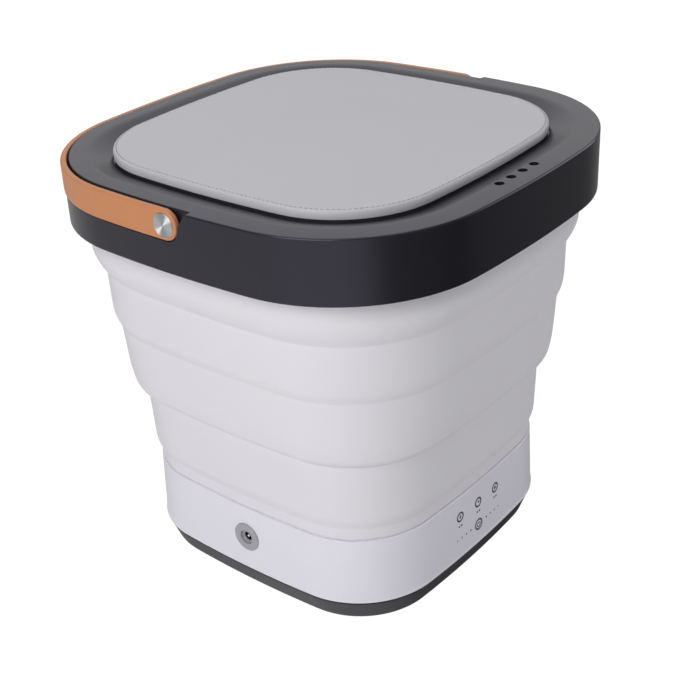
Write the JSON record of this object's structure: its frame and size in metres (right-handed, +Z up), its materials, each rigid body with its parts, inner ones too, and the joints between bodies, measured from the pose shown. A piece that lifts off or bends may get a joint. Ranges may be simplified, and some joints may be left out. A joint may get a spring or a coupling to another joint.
{
  "type": "foldable washing machine",
  "caption": "Portable washing machine with a low base, a pleated soft tub that folds down, a deep rim with a padded lift-off lid and a swinging carrying handle.",
  "frame": {"origin": "centre of the machine's footprint, on the floor that the feet stand on", "axes": "+Z up; -Y is the side with the touch keys and vent holes, +Y the side the handle lies on; -X is the side with the power inlet"},
  "size_m": [0.3336, 0.331, 0.3203],
  "materials": {
    "housing_white": "glossy moulded",
    "pan_grey": "fine moulded texture",
    "rim_grey": "satin moulded",
    "soft_white": "matte soft moulding",
    "tub_white": "smooth moulded",
    "impeller_white": "smooth moulded",
    "foot_rubber": "matte",
    "seal_rubber": "matte silicone",
    "belt_rubber": "matte",
    "steel": "turned or drawn",
    "zinc_screw": "zinc plated",
    "bronze": "sintered",
    "pulley_black": "moulded",
    "motor_steel": "plated can",
    "board_green": "solder mask",
    "board_black": "moulded",
    "lamp_clear": "clear moulding",
    "jack_grey": "smooth moulded",
    "jack_black": "moulded",
    "jack_nickel": "nickel plated",
    "lead_black": "matte sheath",
    "handle_tan": "fine satin",
    "lid_grey": "fine-grained leatherette",
    "lid_plate_grey": "moulded",
    "foam": "closed-cell foam"
  },
  "bodies": {
    "base": {"feet": "foot_rubber", "base_pan": "pan_grey", "base_housing": "housing_white", "base_screws": "zinc_screw", "bellows": "soft_white", "tub_floor": "tub_white", "floor_screws": "zinc_screw", "shaft_bushes": "bronze", "shaft_seal": "seal_rubber", "drive_belt": "belt_rubber", "motor": "motor_steel", "motor_cap": "pulley_black", "motor_bracket": "motor_steel", "motor_screws": "zinc_screw", "bracket_screws": "zinc_screw", "control_board": "board_green", "board_parts": "board_black", "board_screws": "zinc_screw", "touch_springs": "steel", "indicator_leds": "lamp_clear", "jack_bezel": "jack_grey", "jack_socket": "jack_black", "jack_pin": "jack_nickel", "jack_nut": "pulley_black", "jack_lead": "lead_black", "motor_lead": "lead_black"},
    "impeller": {"impeller": "impeller_white", "impeller_screw": "steel", "drive_shaft": "steel", "shaft_clip": "steel", "driven_pulley": "pulley_black", "pulley_nut": "zinc_screw"},
    "rotor": {"motor_shaft": "steel", "motor_pulley": "pulley_black"},
    "rim": {"top_rim": "rim_grey", "rim_under_ring": "tub_white", "rim_screws": "zinc_screw", "pivot_screws": "steel", "pivot_washers": "zinc_screw", "pivot_nuts": "zinc_screw"},
    "lid": {"lid_plate": "lid_plate_grey", "lid_seal": "seal_rubber", "lid_cover": "lid_grey", "lid_pad": "foam"},
    "handle": {"handle": "handle_tan"}
  },
  "joints": [
    {"name": "fold", "type": "slide", "parent": "base", "child": "rim", "axis": [0, 0, 1], "range_m": [-0.165, 0], "deforming": ["bellows"]},
    {"name": "lid_lift", "type": "slide", "parent": "rim", "child": "lid", "axis": [0, 0, 1], "range_m": [0, 0.1]},
    {"name": "handle_swing", "type": "hinge", "parent": "rim", "child": "handle", "pos_m": [0, 0, 0.3064], "axis": [1, 0, 0], "range_deg": [0, 110]},
    {"name": "impeller_spin", "type": "hinge", "parent": "base", "child": "impeller", "pos_m": [0, 0, 0.05], "axis": [0, 0, 1], "continuous": true},
    {"name": "motor_spin", "type": "hinge", "parent": "base", "child": "rotor", "pos_m": [0.062, 0, 0.02], "axis": [0, 0, 1], "continuous": true}
  ],
  "couplings": [
    {"joint": "motor_spin", "follows": "impeller_spin", "ratio": 3.5}
  ]
}
